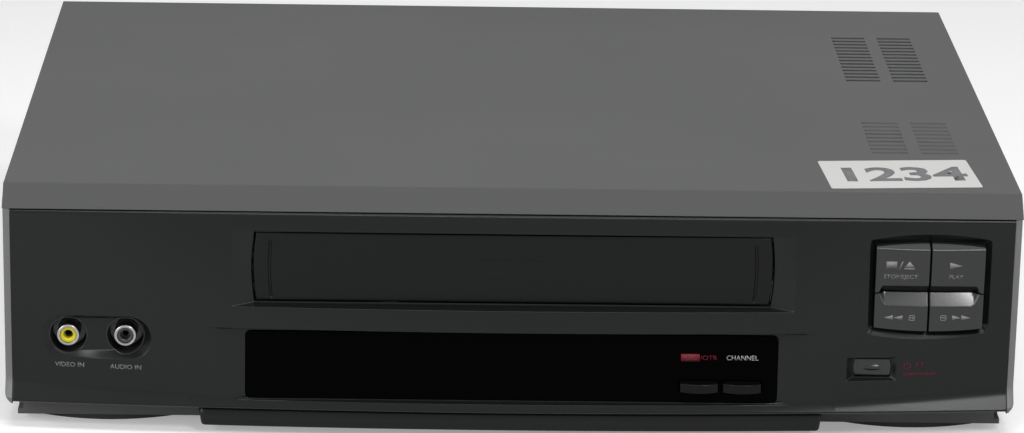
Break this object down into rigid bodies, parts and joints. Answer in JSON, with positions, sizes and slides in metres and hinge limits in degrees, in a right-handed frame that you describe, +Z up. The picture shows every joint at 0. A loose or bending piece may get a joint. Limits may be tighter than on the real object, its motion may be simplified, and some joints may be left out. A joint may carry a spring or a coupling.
{
  "type": "video cassette recorder",
  "caption": "Front-loading video cassette recorder with a swinging cassette door, display window, tape keys, front phono sockets and a working tape deck.",
  "frame": {"origin": "centre of the footprint, on the surface that the feet stand on", "axes": "+X to the viewer's right, +Y from the front to the back, +Z up"},
  "size_m": [0.38, 0.285, 0.0941],
  "materials": {
    "cover_steel": "satin grey paint",
    "tray_plastic": "moulded black",
    "foot_rubber": "soft black",
    "screw_steel": "zinc plated",
    "panel_plastic": "satin graphite",
    "window_gloss": "black gloss",
    "door_plastic": "satin black",
    "bright_steel": "bright steel",
    "spring_steel": "spring wire",
    "key_plastic": "satin dark grey",
    "bar_key_plastic": "satin black",
    "board_laminate": "brown laminate",
    "black_plastic": "black moulded",
    "green_laminate": "green laminate",
    "tube_glass": "dark glass",
    "socket_plate": "nickel plated",
    "yellow_plastic": "yellow",
    "black_insulator": "black",
    "rear_steel": "grey paint",
    "tin_plate": "tinned",
    "core_ferrite": "ferrite",
    "sink_aluminium": "extruded",
    "deck_steel": "zinc plated",
    "drum_aluminium": "turned",
    "flywheel_zinc": "cast and turned",
    "bearing_bronze": "sintered bronze",
    "roller_rubber": "ground rubber",
    "reel_plastic": "black moulded",
    "gear_plastic": "natural white",
    "label_paper": "white paper"
  },
  "bodies": {
    "casing": {"top_cover": "cover_steel", "base_tray": "tray_plastic", "front_feet": "foot_rubber", "rear_feet": "foot_rubber", "case_screws": "screw_steel", "front_panel": "panel_plastic", "display_window": "window_gloss", "door_hinge_rod": "bright_steel", "door_spring": "spring_steel", "key_board": "board_laminate", "tact_switches": "black_plastic", "display_board": "green_laminate", "display_tube": "tube_glass", "socket_housing": "black_plastic", "video_socket_shell": "socket_plate", "audio_socket_shell": "socket_plate", "video_socket_insulator": "yellow_plastic", "audio_socket_insulator": "black_insulator", "rear_panel": "rear_steel", "upper_scart_socket": "black_plastic", "lower_scart_socket": "black_plastic", "rear_phono_sockets": "socket_plate", "mains_inlet": "black_plastic", "tuner_module": "tin_plate", "main_board": "board_laminate", "board_components": "black_plastic", "power_board": "board_laminate", "transformer": "core_ferrite", "heat_sink": "sink_aluminium", "deck_plate": "deck_steel", "left_bracket": "deck_steel", "right_bracket": "deck_steel", "lower_drum": "drum_aluminium", "capstan_bearing": "bearing_bronze", "drive_belt": "roller_rubber", "tape_heads": "drum_aluminium", "loading_motor": "tin_plate", "paper_label": "label_paper"},
    "door": {"cassette_door": "door_plastic"},
    "stop_key": {"stop_key": "key_plastic"},
    "play_key": {"play_key": "key_plastic"},
    "rewind_key": {"rewind_key": "key_plastic"},
    "forward_key": {"forward_key": "key_plastic"},
    "power_key": {"power_key": "key_plastic"},
    "record_key": {"record_key": "bar_key_plastic"},
    "channel_key": {"channel_key": "bar_key_plastic"},
    "holder_slide": {"holder_slide": "deck_steel"},
    "cassette_holder": {"cassette_holder": "deck_steel"},
    "upper_drum": {"upper_drum": "drum_aluminium"},
    "capstan": {"capstan_shaft": "bright_steel", "capstan_flywheel": "flywheel_zinc"},
    "clutch": {"clutch_pulley": "gear_plastic"},
    "pinch_arm": {"pinch_arm": "deck_steel"},
    "pinch_roller": {"pinch_roller": "roller_rubber"},
    "supply_reel": {"supply_reel": "reel_plastic"},
    "take_up_reel": {"take_up_reel": "reel_plastic"},
    "supply_guide": {"supply_guide": "bright_steel"},
    "take_up_guide": {"take_up_guide": "bright_steel"},
    "worm": {"worm_gear": "gear_plastic"},
    "cam": {"cam_gear": "gear_plastic"}
  },
  "joints": [
    {"name": "door_swing", "type": "hinge", "parent": "casing", "child": "door", "pos_m": [0, -0.1295, 0.081], "axis": [1, 0, 0], "range_deg": [0, 80], "stiffness_Nm_per_rad": 0.008, "springref_deg": -20.05},
    {"name": "stop_press", "type": "slide", "parent": "casing", "child": "stop_key", "axis": [0, 1, 0], "range_m": [0, 0.001], "stiffness_N_per_m": 300, "springref_m": -0.001},
    {"name": "play_press", "type": "slide", "parent": "casing", "child": "play_key", "axis": [0, 1, 0], "range_m": [0, 0.001], "stiffness_N_per_m": 300, "springref_m": -0.001},
    {"name": "rewind_press", "type": "slide", "parent": "casing", "child": "rewind_key", "axis": [0, 1, 0], "range_m": [0, 0.001], "stiffness_N_per_m": 300, "springref_m": -0.001},
    {"name": "forward_press", "type": "slide", "parent": "casing", "child": "forward_key", "axis": [0, 1, 0], "range_m": [0, 0.001], "stiffness_N_per_m": 300, "springref_m": -0.001},
    {"name": "power_press", "type": "slide", "parent": "casing", "child": "power_key", "axis": [0, 1, 0], "range_m": [0, 0.001], "stiffness_N_per_m": 300, "springref_m": -0.001},
    {"name": "record_press", "type": "slide", "parent": "casing", "child": "record_key", "axis": [0, 1, 0], "range_m": [0, 0.001], "stiffness_N_per_m": 300, "springref_m": -0.001},
    {"name": "channel_press", "type": "slide", "parent": "casing", "child": "channel_key", "axis": [0, 1, 0], "range_m": [0, 0.001], "stiffness_N_per_m": 300, "springref_m": -0.001},
    {"name": "holder_load", "type": "slide", "parent": "casing", "child": "holder_slide", "axis": [0, 1, 0], "range_m": [0, 0.03]},
    {"name": "holder_lower", "type": "slide", "parent": "holder_slide", "child": "cassette_holder", "axis": [0, 0, -1], "range_m": [0, 0.021]},
    {"name": "drum_spin", "type": "hinge", "parent": "casing", "child": "upper_drum", "pos_m": [0, 0.0805, 0.0216], "axis": [0, -0.1045, 0.9945], "continuous": true},
    {"name": "capstan_spin", "type": "hinge", "parent": "casing", "child": "capstan", "pos_m": [0.062, 0.0505, 0.0216], "axis": [0, 0, 1], "continuous": true},
    {"name": "clutch_spin", "type": "hinge", "parent": "casing", "child": "clutch", "pos_m": [0, 0.0015, 0.0216], "axis": [0, 0, 1], "continuous": true},
    {"name": "pinch_swing", "type": "hinge", "parent": "casing", "child": "pinch_arm", "pos_m": [0.088, 0.0725, 0.0216], "axis": [0, 0, -1], "range_deg": [0, 24]},
    {"name": "pinch_roll", "type": "hinge", "parent": "pinch_arm", "child": "pinch_roller", "pos_m": [0.08169, 0.04561, 0.0216], "axis": [0, 0, 1], "continuous": true},
    {"name": "supply_spin", "type": "hinge", "parent": "casing", "child": "supply_reel", "pos_m": [-0.046, -0.018, 0.0216], "axis": [0, 0, 1], "continuous": true},
    {"name": "take_up_spin", "type": "hinge", "parent": "casing", "child": "take_up_reel", "pos_m": [0.046, -0.018, 0.0216], "axis": [0, 0, 1], "continuous": true},
    {"name": "cam_turn", "type": "hinge", "parent": "casing", "child": "cam", "pos_m": [-0.124, -0.0145, 0.0216], "axis": [0, 0, 1], "range_deg": [0, 170]},
    {"name": "worm_spin", "type": "hinge", "parent": "casing", "child": "worm", "pos_m": [-0.1424, -0.0145, 0.0296], "axis": [0, 1, 0], "continuous": true},
    {"name": "supply_guide_thread", "type": "slide", "parent": "casing", "child": "supply_guide", "axis": [-0.4008, 0.9162, 0], "range_m": [0, 0.03493]},
    {"name": "take_up_guide_thread", "type": "slide", "parent": "casing", "child": "take_up_guide", "axis": [0.4008, 0.9162, 0], "range_m": [0, 0.03493]}
  ],
  "couplings": [
    {"joint": "clutch_spin", "follows": "capstan_spin", "ratio": 0.79021},
    {"joint": "supply_guide_thread", "follows": "cam_turn", "m_per_rad": 0.011772},
    {"joint": "take_up_guide_thread", "follows": "cam_turn", "m_per_rad": 0.011772},
    {"joint": "worm_spin", "follows": "cam_turn", "ratio": 24}
  ]
}
